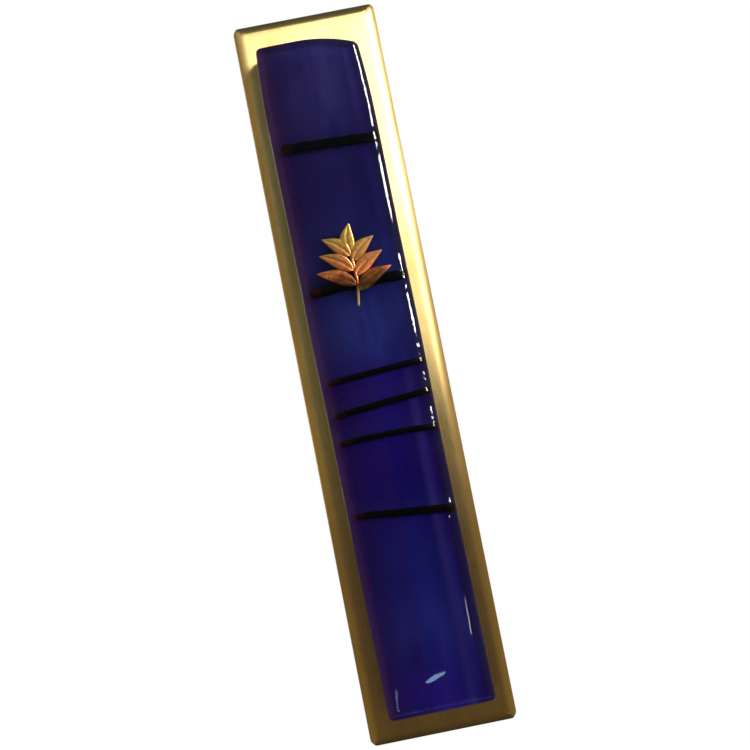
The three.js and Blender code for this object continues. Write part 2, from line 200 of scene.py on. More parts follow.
def side_lamp(name, azimuth, z_low, z_high, width, radiance, shape="RECTANGLE", only=None):
    """A lamp to one side whose streak on the glass's rounded edge runs between two heights."""
    eye = bpy.context.scene.camera.matrix_world.translation
    near = abs(eye.y - FACE_CENTRE[1])
    ends = [z * MM + (z * MM - eye.z) * LAMP_DISTANCE / near for z in (z_low, z_high)]
    az = math.radians(azimuth)
    flat = Vector((math.sin(az), -math.cos(az), 0)) * LAMP_DISTANCE
    middle = flat + Vector((0, 0, sum(ends) / 2))
    size = (width, (ends[1] - ends[0]) * LAMP_DISTANCE / middle.length)
    place, away = Vector(FACE_CENTRE) + middle, middle.normalized()
    return lamp(name, place, away, size, radiance, WHITE_LAMP, shape, only=only)


def mirrored_lamp(name, x, z, size, radiance, colour, twist, only):
    """A small lamp placed where the camera sees it reflected at a point of the glass's face."""
    eye = bpy.context.scene.camera.matrix_world.translation
    step = 0.2
    spots = ((x, z), (x + step, z), (x, z + step))
    here, side, above = (point(*on_glass(*spot)) for spot in spots)
    normal = (side - here).cross(above - here).normalized()
    ray = (here - eye).normalized()
    away = ray - 2 * ray.dot(normal) * normal
    place = here + away * LAMP_DISTANCE
    return lamp(name, place, away, size, radiance, colour, "ELLIPSE", twist, only)


def build_world():
    """A dim studio that darkens downwards, in front of a plain white background."""
    world = bpy.data.worlds.new("studio")
    bpy.context.scene.world = world
    world.use_nodes = True
    graph = Graph(world.node_tree)
    graph.nodes.clear()
    away = graph.new("TexCoord").outputs["Generated"]
    height = graph.span(graph.part(away, "Z"), -1, 1)
    aside = graph.math("ABSOLUTE", graph.part(away, "X"))
    front, sides = graph.ramp(height, ROOM_FRONT), graph.ramp(height, ROOM_SIDES)
    room = graph.mix(graph.span(aside, 0.35, 0.9), front, sides)
    onlooker = graph.span(aside, 0.10, 0.28, ONLOOKER_SHADE, 1)
    room = graph.mix(1.0, room, onlooker, "MULTIPLY")
    behind = graph.span(graph.part(away, "Y"), 0.75, 1.0, 0, BEHIND_LIFT)
    room = graph.mix(1.0, room, behind, "ADD")
    lit, seen = (graph.new("Background") for _ in range(2))
    graph.join(room, lit.inputs["Color"])
    seen.inputs["Color"].default_value = (1, 1, 1, 1)
    choose = graph.new("MixShader")
    path = graph.new("LightPath")
    graph.join(path.outputs["Is Camera Ray"], choose.inputs["Fac"])
    graph.join(lit.outputs[0], choose.inputs[1])
    graph.join(seen.outputs[0], choose.inputs[2])
    output = graph.new("OutputWorld")
    graph.join(choose.outputs[0], output.inputs["Surface"])


def stage_object(name, mesh, material):
    mesh.materials.append(material)
    thing = bpy.data.objects.new(name, mesh)
    bpy.context.collection.objects.link(thing)
    return thing


def build_floor():
    """A pale round floor far below the case, with a lamp of its own."""
    mesh = bpy.data.meshes.new("floor")
    with editing(mesh) as bm:
        bmesh.ops.create_circle(bm, cap_ends=True, segments=96, radius=FLOOR_RADIUS)
    paint = Paint("floor_paint")
    paint.shader(base=(0.93, 0.93, 0.92), roughness=0.8)
    floor = stage_object("floor", mesh, paint.material)
    floor.location = (0, 0, -FLOOR_DROP)
    floor.visible_glossy = False
    pale = bpy.data.collections.new("pale_floor")
    pale.objects.link(floor)
    overhead, down = (0, 0, FLOOR_LAMP_HEIGHT), Vector((0, 0, 1))
    size = (FLOOR_LAMP_WIDE, FLOOR_LAMP_WIDE)
    lamp("floor_lamp", overhead, down, size, FLOOR_LAMP, (1, 1, 1), "ELLIPSE", only=pale)


def build_card():
    """A card beside the case, in line with its face, that keeps the window off the side wall."""
    low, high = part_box("case_shell")
    near, y = high.x + CARD_GAP, low.y + CARD_BEHIND_FACE
    corners = [(near, y, -CARD_REACH), (CARD_REACH, y, -CARD_REACH)]
    corners += [(CARD_REACH, y, CARD_TOP), (near, y, CARD_TOP)]
    mesh = bpy.data.meshes.new("side_card")
    mesh.from_pydata(corners, [], [(0, 1, 2, 3)])
    paint = Paint("card_paint")
    # The card glows a dim warm brown that only reflections show: a painted reflection along the outer
    # edge of the brass bend.
    paint.shader(base=(0, 0, 0), emission_color=(0.30, 0.225, 0.11, 1), emission_strength=1.0)
    card = stage_object("side_card", mesh, paint.material)
    card.visible_camera = False
    card.visible_diffuse = False
    card.visible_transmission = False


# ---------------- materials
class Paint(Graph):
    """A material with the same short ways, whose patterns lie in object coordinates."""

    def __init__(self, name):
        self.material = bpy.data.materials.new(name)
        self.material.use_nodes = True
        super().__init__(self.material.node_tree)
        self.bsdf = self.nodes["Principled BSDF"]
        self.where = None

    def shader(self, base=None, **values):
        if base is not None:
            self.bsdf.inputs["Base Color"].default_value = (*base, 1)
        for name, value in values.items():
            socket = name.replace("_", " ").title().replace("Ior", "IOR")
            self.bsdf.inputs[socket].default_value = value

    def position(self):
        """Object coordinates, which are metres in the part's frame."""
        if self.where is None:
            self.where = self.new("TexCoord")
        return self.where.outputs["Object"]

    def axis(self, letter):
        return self.part(self.position(), letter)

    def stretched(self, scale):
        mapping = self.new("Mapping")
        mapping.inputs["Scale"].default_value = scale
        self.join(self.position(), mapping.inputs["Vector"])
        return mapping.outputs["Vector"]

    def noise(self, scale, detail=4.0, rough=0.55, distortion=0.0):
        """Noise with its own number of cells per metre along each axis."""
        tex = self.new("TexNoise")
        tex.inputs["Scale"].default_value = 1.0
        tex.inputs["Detail"].default_value = detail
        tex.inputs["Roughness"].default_value = rough
        tex.inputs["Distortion"].default_value = distortion
        self.join(self.stretched(scale), tex.inputs["Vector"])
        return tex.outputs["Fac"]

    def cells(self, per_metre):
        """Distance from the nearest of many scattered points."""
        tex = self.new("TexVoronoi")
        tex.inputs["Scale"].default_value = 1.0
        self.join(self.stretched((per_metre,) * 3), tex.inputs["Vector"])
        return tex.outputs["Distance"]

    def bump(self, height, strength, distance, below=None):
        node = self.new("Bump")
        node.inputs["Strength"].default_value = strength
        node.inputs["Distance"].default_value = distance
        self.join(height, node.inputs["Height"])
        if below is not None:
            self.join(below, node.inputs["Normal"])
        return node.outputs["Normal"]

    def finish(self, colour=None, roughness=None, normal=None):
        for source, name in ((colour, "Base Color"), (roughness, "Roughness"), (normal, "Normal")):
            if source is not None:
                self.join(source, self.bsdf.inputs[name])
        return self.material


def brass(name, light, dark, rough, grain_scale, tarnish, grain_depth=0.000012):
    """Brushed brass: fine grain along one direction, uneven tone, specks and dull patches."""
    paint = Paint(name)
    paint.shader(metallic=1.0)
    grain = paint.noise(grain_scale, detail=3, rough=0.7)
    patches = paint.noise((120, 120, 60), detail=5, rough=0.6, distortion=0.4)
    cloud = paint.noise((35, 35, 18), detail=3)
    specks = paint.cells(900)
    tone = paint.mix(paint.span(grain, 0.1, 0.9), dark, light)
    dull = tuple(c * k for c, k in zip(dark, (0.62, 0.55, 0.5)))
    tone = paint.mix(paint.math("MULTIPLY", paint.span(patches, 0.5, 0.72), tarnish), tone, dull)
    tone = paint.mix(paint.span(cloud, 0.35, 0.65, 0.0, 0.35), tone, light)
    tone = paint.mix(paint.span(specks, 0.0, 0.12, 0.35, 0.0), tone, dull)
    roughness = paint.math(
        "ADD",
        paint.span(patches, 0.3, 0.7, rough - 0.05, rough + 0.07),
        paint.span(grain, 0.2, 0.8, -0.04, 0.05),
    )
    normal = paint.bump(grain, 0.55, grain_depth)
    normal = paint.bump(patches, 0.25, grain_depth * 2, normal)
    paint.finish(tone, roughness, normal)
    return paint


def case_brass():
    """Satin sheet whose reflections are drawn out sideways, across its upright grain."""
    light, dark = (0.87, 0.63, 0.26), (0.77, 0.54, 0.21)
    paint = brass("satin_brass", light, dark, 0.32, (3600, 3600, 400), 0.3, grain_depth=0.000002)
    paint.shader(anisotropic=0.9)
    tangent = paint.new("Tangent")
    tangent.direction_type = "UV_MAP"
    paint.join(tangent.outputs[0], paint.bsdf.inputs["Tangent"])
    return paint.material


def plate_brass():
    light, dark = (0.72, 0.58, 0.33), (0.56, 0.43, 0.22)
    return brass("plate_brass", light, dark, 0.38, (80, 900, 1500), 0.6).material


def spring_brass():
    light, dark = (0.86, 0.68, 0.36), (0.70, 0.52, 0.25)
    return brass("spring_brass", light, dark, 0.24, (300, 300, 2200), 0.2).material


def screw_brass():
    light, dark = (0.88, 0.71, 0.40), (0.70, 0.53, 0.27)
    return brass("screw_brass", light, dark, 0.22, (1500, 1500, 1500), 0.25).material


def cobalt_glass():
    """The clear upper sheet, tinted by what it absorbs on the way through."""
    paint = Paint("cobalt_glass")
    paint.shader(base=(0.93, 0.92, 1.0), roughness=0.02, ior=1.5, transmission_weight=1.0)
    absorb = paint.new("VolumeAbsorption")
    absorb.inputs["Color"].default_value = (0.35, 0.20, 0.80, 1)
    absorb.inputs["Density"].default_value = 130
    paint.join(absorb.outputs[0], paint.nodes["Material Output"].inputs["Volume"])
    ripple = paint.noise((160, 160, 90), detail=2)
    return paint.finish(normal=paint.bump(ripple, 0.10, 0.00012))


def cobalt_core():
    """The opaque lower sheet: deep blue with violet streaks, and painted light on it: a painted glow
    along its height, painted shade towards both sides, a painted reflection band and a painted glow at
    the left rim.
    """
    paint = Paint("cobalt_core")
    paint.shader(roughness=0.6, specular_ior_level=0.0)
    # Painted glow and shade: the blue brightens and darkens along the height to stand in for how light
    # falls inside the glass.
    along = paint.span(paint.axis("Z"), -0.062, 0.062)
    painted_glow = paint.ramp(
        along,
        [
            (0.02, (0.036, 0.021, 0.25)),
            (0.11, (0.036, 0.052, 0.25)),
            (0.20, (0.020, 0.030, 0.19)),
            (0.34, (0.022, 0.009, 0.18)),
            (0.47, (0.032, 0.013, 0.19)),
            (0.56, (0.045, 0.080, 0.26)),
            (0.78, (0.028, 0.020, 0.115)),
            (0.93, (0.070, 0.065, 0.18)),
        ],
        smooth=True,
    )
    streaks = paint.noise((420, 420, 26), detail=4, distortion=0.3)
    colour = paint.mix(paint.span(streaks, 0.5, 0.8, 0, 0.5), painted_glow, (0.06, 0.02, 0.10))
    cloud = paint.noise((150, 150, 70), detail=3)
    colour = paint.mix(paint.span(cloud, 0.5, 0.75, 0, 0.5), colour, (0.010, 0.005, 0.09))
    # Painted shade: the core darkens towards its left and its right side, so the middle reads
    # brighter.
    left = paint.span(paint.axis("X"), 0.0, -0.0075, 0, 0.7)
    colour = paint.mix(left, colour, (0.028, 0.009, 0.06))
    right = paint.span(paint.axis("X"), 0.002, 0.0080, 0, 0.75)
    colour = paint.mix(right, colour, (0.012, 0.005, 0.060))
    # Painted reflection: a lighter violet band low on the right, where the glass's edge is seen
    # reflected inside it.
    across = paint.math("ABSOLUTE", paint.math("SUBTRACT", paint.axis("X"), 0.0059))
    low_half = paint.span(paint.axis("Z"), 0.004, -0.012)
    painted_reflection_band = paint.math("MULTIPLY", paint.span(across, 0.0012, 0.0002, 0.0, 0.6), low_half)
    colour = paint.mix(painted_reflection_band, colour, (0.050, 0.045, 0.18))
    # Painted glow: reddish violet along the left rim, where light let through the glass's rounded side
    # shows.
    rim = paint.span(paint.axis("X"), -0.0072, -0.0100, 0, 0.8)
    colour = paint.mix(rim, colour, (0.11, 0.012, 0.07))
    return paint.finish(colour)


def black_glass():
    """Black, with a brown left end where a thread thins out."""
    paint = Paint("black_glass")
    paint.shader(roughness=0.6, specular_ior_level=0.0)
    soft = paint.noise((500, 500, 900), detail=3)
    colour = paint.ramp(soft, [(0.35, (0.0006, 0.0004, 0.001)), (0.75, (0.004, 0.0015, 0.004))])
    end = paint.span(paint.axis("X"), -0.0058, -0.0086)
    colour = paint.mix(end, colour, (0.045, 0.005, 0.003))
    return paint.finish(colour, normal=paint.bump(soft, 0.2, 0.00005))


def gold_lustre():
    """Fired lustre: khaki gold at the tips, copper across the middle, brown low down."""
    paint = Paint("gold_lustre")
    paint.shader(metallic=1.0)
    low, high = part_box("emblem")
    along = paint.span(paint.axis("Z"), low.z, high.z)
    drift = paint.noise((260, 260, 200), detail=3, distortion=0.5)
    along = paint.math("ADD", along, paint.span(drift, 0.25, 0.75, -0.09, 0.09))
    colour = paint.ramp(
        along,
        [
            (0.02, (0.62, 0.42, 0.14)),
            (0.14, (0.56, 0.36, 0.12)),
            (0.22, (0.14, 0.055, 0.018)),
            (0.34, (0.20, 0.07, 0.022)),
            (0.42, (0.80, 0.23, 0.07)),
            (0.60, (0.72, 0.26, 0.09)),
            (0.76, (0.70, 0.38, 0.10)),
            (0.95, (0.72, 0.46, 0.12)),
        ],
    )
    speck = paint.noise((2500, 2500, 2500), detail=4)
    colour = paint.mix(paint.span(speck, 0.55, 0.75, 0, 0.35), colour, (0.16, 0.10, 0.05))
    roughness = paint.span(speck, 0.3, 0.7, 0.26, 0.42)
    return paint.finish(colour, roughness, paint.bump(speck, 0.25, 0.00003))


def silicone():
    """Cured, cloudy white adhesive."""
    paint = Paint("silicone")
    paint.shader(roughness=0.35)
    cloud = paint.noise((90, 90, 40), detail=3)
    colour = paint.mix(paint.span(cloud, 0.3, 0.7), (0.55, 0.56, 0.55), (0.85, 0.86, 0.85))
    return paint.finish(colour, normal=paint.bump(cloud, 0.3, 0.0001))


def parchment():
    """Blank skin: pale, fibrous, with hair follicles and darker clouds."""
    paint = Paint("parchment")
    fibres = paint.noise((900, 900, 300), detail=6, rough=0.7)
    cloud = paint.noise((90, 90, 50), detail=4)
    follicles = paint.cells(1800)
    colour = paint.mix(paint.span(cloud, 0.3, 0.7), (0.80, 0.69, 0.47), (0.90, 0.83, 0.66))
    colour = paint.mix(paint.span(fibres, 0.45, 0.75, 0, 0.4), colour, (0.66, 0.53, 0.33))
    colour = paint.mix(paint.span(follicles, 0.0, 0.2, 0.3, 0), colour, (0.55, 0.42, 0.26))
    roughness = paint.span(fibres, 0.2, 0.8, 0.55, 0.8)
    paint.shader(sheen_weight=0.15)
    return paint.finish(colour, roughness, paint.bump(fibres, 0.4, 0.00004))


def clear_film():
    """Thin clear plastic with fine lengthwise scuffs."""
    paint = Paint("clear_film")
    paint.shader(base=(0.86, 0.88, 0.88), ior=1.45, alpha=0.14)
    scuffs = paint.noise((1400, 1400, 90), detail=5, rough=0.7)
    roughness = paint.span(scuffs, 0.4, 0.8, 0.08, 0.35)
    return paint.finish(roughness=roughness, normal=paint.bump(scuffs, 0.15, 0.00002))


# ---------------- mesh helpers
def point(x, depth, z):
    return Vector((x * MM, -depth * MM, z * MM))


@contextmanager
def editing(mesh):
    """Opens a mesh for bmesh work and writes the result back to it."""
    bm = bmesh.new()
    bm.from_mesh(mesh)
    yield bm
    bm.to_mesh(mesh)
    bm.free()


def uneven(x, y, z):
    """Smooth noise from about -1 to 1, the same on every run."""
    return noise.noise(Vector((x, y, z)))


def box_mm(node):
    """A node's lowest and highest corners, in millimetres."""
    return [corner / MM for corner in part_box(node)]


def upright_tube(node):
    """Depth of the axis, radius and half length of a round node that lies along Z."""
    low, high = box_mm(node)
    return -(low.y + high.y) / 2, (high.x - low.x) / 2, (high.z - low.z) / 2


def add_piece(name, mesh, material, body, replaced):
    """Makes a mesh a piece that rides on a body in place of its CAD nodes."""
    mesh.materials.clear()
    mesh.materials.append(material)
    piece = bpy.data.objects.new(name, mesh)
    bpy.context.collection.objects.link(piece)
    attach(piece, body)
    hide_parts(*replaced)
    return piece


def make_piece(name, verts, faces, material, body, replaced):
    """A piece from (x, depth, z) points and faces, shaded smoothly."""
    mesh = bpy.data.meshes.new(name)
    mesh.from_pydata([point(*v) for v in verts], [], faces)
    mesh.validate()
    with editing(mesh) as bm:
        bmesh.ops.recalc_face_normals(bm, faces=bm.faces)
    mesh.shade_smooth()
    return add_piece(name, mesh, material, body, replaced)


def bevel(piece, width, segments=2, angle=35):
    """Rounds the edges that turn by more than an angle, as wear and filing do."""
    modifier = piece.modifiers.new("worn_edges", "BEVEL")
    modifier.width = width * MM
    modifier.segments = segments
    modifier.limit_method = "ANGLE"
    modifier.angle_limit = math.radians(angle)


def quads(rows, columns, closed=False, start=0, flip=False):
    """Faces of a grid whose vertices run along each row; closed joins each row's ends."""
    faces = []
    for i in range(rows - 1):
        for j in range(columns if closed else columns - 1):
            a = start + i * columns + j
            b = start + i * columns + (j + 1) % columns
            face = (a, b, b + columns, a + columns)
            faces.append(face[::-1] if flip else face)
    return faces


def lerp(a, b, t):
    return a + (b - a) * t


# ---------------- case: one folded sheet
SHEET, SHEET_EDGE = 0.8, 0.13
BEND = 2.0
LIP_BEND, LIP_REACH = 1.0, 3.1
LIP_SHORT, LIP_START = 4.0, 0.35
CORNER_CUT = 1.1
SEAM_HALF = 0.04
BOTTOM_PASS = 2.9
DENT_DEPTH, DENT_WIDE, DENT_LONG = 0.05, 14, 22
UV_PER_METRE = 10


def arc_steps(radius, count, start_offset, start_depth, turn_in=False):
    """(offset, depth) along a quarter bend, outwards from the face or inwards to a lip."""
    steps = []
    for k in range(1, count + 1):
        a = 0.5 * math.pi * k / count
        along, over = radius * math.sin(a), radius * (1 - math.cos(a))
        if turn_in:
            steps.append((start_offset - over, start_depth - along))
        else:
            steps.append((start_offset + along, start_depth - over))
    return steps


def sheet_dents(x, z):
    """How far the face stands out of flat, in millimetres: slight, slow hand-made waves."""
    p = Vector((x / DENT_WIDE, z / DENT_LONG, 3.7))
    return DENT_DEPTH * (noise.noise(p) + 0.24 * noise.noise(p * 4.0))


def case_sheet(material):
    """The face in a grid, then each side as strips that run round its bend and down."""
    low, high = box_mm("case_shell")
    half_w, half_l = high.x, high.z
    face, rim = -low.y - DENT_DEPTH, -high.y
    flat_x, flat_z = half_w - BEND, half_l - BEND
    columns, rows = 28, 140
    verts, faces = [], []

    def put(x, depth, z):
        verts.append((x, depth, z))
        return len(verts) - 1

    grid = []
    for i in range(rows + 1):
        z = lerp(-flat_z, flat_z, i / rows)
        line = []
        for j in range(columns + 1):
            x = lerp(-flat_x, flat_x, j / columns)
            calm = min(1.0, (flat_x - abs(x)) / 2.0, (flat_z - abs(z)) / 2.0)
            line.append(put(x, face + calm * sheet_dents(x, z), z))
        grid.append(line)
    faces += quads(rows + 1, columns + 1)

    def strip(edge, steps, place):
        """Carries an edge of the face round a bend and down a side, row by row."""
        before = edge
        for offset, depth, shrink in steps:
            row = [put(*place(t, offset, depth, shrink)) for t in range(len(edge))]
            for t in range(len(edge) - 1):
                faces.append((before[t], before[t + 1], row[t + 1], row[t]))
            before = row

    bend = arc_steps(BEND, 14, 0, face)
    flange_end = rim + LIP_BEND
    side = [(BEND, lerp(face - BEND, flange_end, k / 4)) for k in range(1, 5)]
    lip = arc_steps(LIP_BEND, 5, BEND, flange_end, turn_in=True)
    lip += [(lerp(BEND - LIP_BEND, BEND - LIP_REACH, k / 3), rim) for k in range(1, 4)]

    def corner(offset, cut=CORNER_CUT):
        """A side's end against its neighbour: mitred at first, then along the clipped corner."""
        return max(min(offset, 2 * BEND - cut - offset) - SEAM_HALF, 0.0)

    def closing(line):
        """A wall's steps, whose ends draw together from the clipped corner to the back."""
        cuts = [lerp(CORNER_CUT, SHEET, k / len(line)) for k in range(1, len(line) + 1)]
        return [(o, d, -corner(o, cut)) for (o, d), cut in zip(line, cuts)]

    side_steps = [(o, d, -corner(o)) for o, d in bend] + closing(side)
    side_steps += [(o, d, LIP_SHORT * (1 if k else LIP_START)) for k, (o, d) in enumerate(lip)]
    end_steps = [(o, d, -corner(o)) for o, d in bend]
    for sign in (1, -1):
        edge = [line[-1 if sign > 0 else 0] for line in grid]

        def beside(t, offset, depth, shrink, sign=sign):
            span = flat_z - shrink
            return (sign * (flat_x + offset), depth, lerp(-span, span, t / rows))

        strip(edge, side_steps, beside)

        edge = grid[-1 if sign > 0 else 0]
        stop = rim if sign > 0 else BOTTOM_PASS
        wall = [(BEND, lerp(face - BEND, stop, k / 4)) for k in range(1, 5)]

        def across(t, offset, depth, shrink, sign=sign):
            span = flat_x - shrink
            return (lerp(-span, span, t / columns), depth, sign * (flat_z + offset))

        strip(edge, end_steps + closing(wall), across)

    piece = make_piece("case_sheet", verts, faces, material, "case", ["case_shell"])
    aim_normals_out(piece)
    lay_uv(piece)
    thick = piece.modifiers.new("sheet", "SOLIDIFY")
    thick.thickness = SHEET * MM
    thick.offset = -1
    thick.use_even_offset = True
    bevel(piece, SHEET_EDGE, 3, 50)
    return piece


def aim_normals_out(piece):
    """Turns an open sheet's faces so that the widest part of it looks to the front."""
    with editing(piece.data) as bm:
        if sum(f.normal.y * f.calc_area() for f in bm.faces) > 0:
            bmesh.ops.reverse_faces(bm, faces=bm.faces)


def lay_uv(piece):
    """UV that unrolls the sheet, so that the grain keeps its direction round the bends."""
    mesh = piece.data
    layer = mesh.uv_layers.new(name="grain")
    front = min(v.co.y for v in mesh.vertices)
    for polygon in mesh.polygons:
        beside = abs(polygon.normal.x) > abs(polygon.normal.z)
        for index in polygon.loop_indices:
            co = mesh.vertices[mesh.loops[index].vertex_index].co
            back = co.y - front
            u = co.x + (math.copysign(back, co.x) if beside else 0)
            v = co.z + (0 if beside else math.copysign(back, co.z))
            layer.data[index].uv = (u * UV_PER_METRE, v * UV_PER_METRE)


# ---------------- glass bar
SKEW_DEG = 0.35
BAR_SHIFT = (-0.1, -0.25)
THREADS = [
    # height of the middle, rise to the right in degrees, upward bow, width, thickness
    (41.2, -2.85, 0.1, 1.6, 1.1),
    (15.05, 1.15, 0.15, 1.6, 1.1),
    (-1.1, 3.25, 0.15, 0.95, 0.75),
    (-6.9, 5.05, 0.15, 1.0, 0.8),
    (-12.65, -0.15, 0.4, 0.9, 0.75),
    (-26.4, -5.95, 0.0, 1.25, 0.95),
]


def on_bar(x, depth, z):
    """From the bar's own frame, which is bonded slightly out of square, to the part's."""
    a = math.radians(-SKEW_DEG)
    return (
        x * math.cos(a) + z * math.sin(a) + BAR_SHIFT[0],
        depth,
        z * math.cos(a) - x * math.sin(a) + BAR_SHIFT[1],
    )


# Lengths in millimetres, and shares of the height from the foot of the glass to its top.
GLASS_REAR = -box_mm("glass_base")[1].y
GLASS_SEAM = -box_mm("glass_base")[0].y
GLASS_FRONT = -box_mm("glass_cap")[0].y
GLASS_HALF_W, GLASS_HALF_L = 9.7, 61.4
SHOULDER, CORNER_POWER = 1.4, 3.2
WALL_SHARE, CORE_TOP = 0.76, 0.45
SWELL, LOW_SWELL, SWELL_ROOM = 0.22, 0.12, 0.32
CAMBER_ACROSS, CAMBER_ALONG = 0.22, 0.25
TOP_SHORT, TOP_SLOPE, FOOT_SHORT = 0.6, 1.7, 0.3
DRAWN_IN, DRAWN_FROM, DRAWN_OVER = 0.5, 46, 15
FLARE = 0.15
THREAD_LEFT, THREAD_RIGHT = 1.4, 0.35


def thread_line(thread, x):
    z, tilt, bow, _, _ = thread
    return z + math.tan(math.radians(tilt)) * x + bow * (1 - (x / GLASS_HALF_W) ** 2)


def bar_half_width(z):
    """The bar waves a little and draws in towards its top end."""
    drawn_in = DRAWN_IN * (max(0.0, z - DRAWN_FROM) / DRAWN_OVER) ** 2
    waves = 0.11 * math.cos((z - 38) / 30) + 0.04 * math.sin(z / 6.5 + 1)
    return GLASS_HALF_W + waves - drawn_in


def bar_end_shift(x, z):
    """How far the ends stand off the nominal length: the top one slopes down to the right."""
    share = min(1.0, abs(z) / GLASS_HALF_L) ** 4
    if z < 0:
        return -FOOT_SHORT * share
    return -(TOP_SHORT + TOP_SLOPE * max(0.0, 0.1 * (x + 2)) ** 2) * share


def bar_swell(x, z):
    """How far the fused surface swells over the threads buried under it."""
    swell = 0.0
    for k, thread in enumerate(THREADS):
        width = thread[3]
        dz = (z - thread_line(thread, x)) / (0.95 * width + 0.5)
        lowest = k == len(THREADS) - 1
        swell += (LOW_SWELL if lowest else SWELL) * width * math.exp(-dz * dz)
    return swell


def bar_profile(count):
    """(distance in from the edge, height share) from the foot, round the side, to the top."""
    steps = [(0.75, 0.0), (0.42, 0.012), (0.18, 0.05), (0.05, 0.12), (0.0, 0.22), (0.0, 0.45)]
    steps.append((0.0, WALL_SHARE))
    for k in range(1, count + 1):
        a = 0.5 * math.pi * k / count
        steps.append((SHOULDER * (1 - math.cos(a)), lerp(WALL_SHARE, 1, math.sin(a))))
    return steps


def bar_surface(e_share, x, z):
    """Depth of the glass surface at a plan point, for a height share between foot and top."""
    height = GLASS_FRONT - GLASS_REAR - SWELL_ROOM
    camber = CAMBER_ACROSS * (x / GLASS_HALF_W) ** 2 + CAMBER_ALONG * (z / GLASS_HALF_L) ** 6
    upper = max(0.0, (e_share - WALL_SHARE) / (1 - WALL_SHARE))
    wave = 0.05 * uneven(x / 7, z / 12, 1.3)
    return GLASS_REAR + height * e_share + upper * (bar_swell(x, z) - camber + wave)


def on_glass(x, z, lift=0.0):
    """A point on the glass's polished front, or a little above it, in the part's frame."""
    return on_bar(x, bar_surface(1.0, x, z) + lift, z)


def bar_outline(inset, n_x, n_z, n_c):
    """The closed plan outline at a distance in from the edge, with squarish corners."""
    inner_w, inner_l = GLASS_HALF_W - SHOULDER, GLASS_HALF_L - SHOULDER
    reach = SHOULDER - inset
    points = []
    for quarter, (sx, sz) in enumerate(((1, 1), (-1, 1), (-1, -1), (1, -1))):
        for k in range(n_c + 1):
            a = 0.5 * math.pi * k / n_c
            c, s = (t ** (2 / CORNER_POWER) for t in (math.cos(a), math.sin(a)))
            if quarter % 2:
                c, s = s, c
            points.append((sx * (inner_w + reach * c), sz * (inner_l + reach * s)))
        if quarter % 2:
            x, end = sx * (inner_w + reach), sz * inner_l
            points += [(x, lerp(end, -end, k / n_z)) for k in range(1, n_z)]
        else:
            z, end = sz * (inner_l + reach), sx * inner_w
            points += [(lerp(end, -end, k / n_x), z) for k in range(1, n_x)]
    return points


def bar_solid(name, rings, surface, material, replaced, n_z=220, n_x=26, n_c=6):
    """A closed pillow: rings of (inset, height share) up its side, and a grid over its top."""
    inner_w, inner_l = GLASS_HALF_W - SHOULDER, GLASS_HALF_L - SHOULDER
    verts = []

    def put(x, z, share):
        wide = x * bar_half_width(z) / GLASS_HALF_W
        if z < 0 < x:
            wide += FLARE * (x / GLASS_HALF_W) * (z / GLASS_HALF_L) ** 2
        up = z + bar_end_shift(x, z)
        verts.append(on_bar(wide, surface(share, wide, z), up))
        return len(verts) - 1

    for inset, share in rings[:-1]:
        last = [put(x, z, share) for x, z in bar_outline(inset, n_x, n_z, n_c)]
    count = len(last)
    faces = quads(len(rings) - 1, count, closed=True)
    faces.append(tuple(range(count - 1, -1, -1)))

    top = rings[-1][1]
    grid = []
    for i in range(n_z + 1):
        z = lerp(-inner_l, inner_l, i / n_z)
        grid.append([put(lerp(-inner_w, inner_w, j / n_x), z, top) for j in range(n_x + 1)])
    faces += quads(n_z + 1, n_x + 1, start=grid[0][0])
    corners = (grid[-1][-1], grid[-1][0], grid[0][0], grid[0][-1])
    left, right = [row[0] for row in grid], [row[-1] for row in grid]
    sides = (grid[-1][-2:0:-1], left[-2:0:-1], grid[0][1:-1], right[1:-1])
    border = []
    for corner, side in zip(corners, sides):
        border += [corner] * (n_c + 1) + side
    for k in range(count):
        m = (k + 1) % count
        face = [last[k], last[m], border[m], border[k]]
        if border[m] == border[k]:
            face.pop()
        faces.append(tuple(face))
    return make_piece(name, verts, faces, material, "case", replaced)


def glass_core(material):
    """The coloured lower sheet, which ends inside the clear one."""
    rings = [(0.95, 0.03), (0.6, 0.04), (0.38, 0.08), (0.25, 0.14), (0.2, 0.22)]
    rings += [(0.2, 0.36), (0.26, 0.42), (0.45, CORE_TOP), (SHOULDER, CORE_TOP)]

    def surface(share, x, z):
        return lerp(GLASS_REAR, GLASS_FRONT - SWELL_ROOM, share)

    return bar_solid("glass_core", rings, surface, material, ["glass_base"], 60, 12)


def glass_skin(material):
    """The clear sheet, slumped over the core and the threads in the kiln."""
    return bar_solid(
        "glass_skin", bar_profile(12), bar_surface, material, ["glass_cap"]
    )


def silicone_bed(material):
    """The adhesive under the glass, squeezed out to just inside its outline."""
    low, high = box_mm("adhesive_bed")
    rings = [(1.0, 0.0), (0.85, 0.2), (0.8, 0.5), (0.85, 0.8), (1.0, 1.0), (SHOULDER, 1.0)]

    def surface(share, x, z):
        return lerp(-high.y, -low.y, share)

    return bar_solid("silicone_bed", rings, surface, material, ["adhesive_bed"], 60, 12)


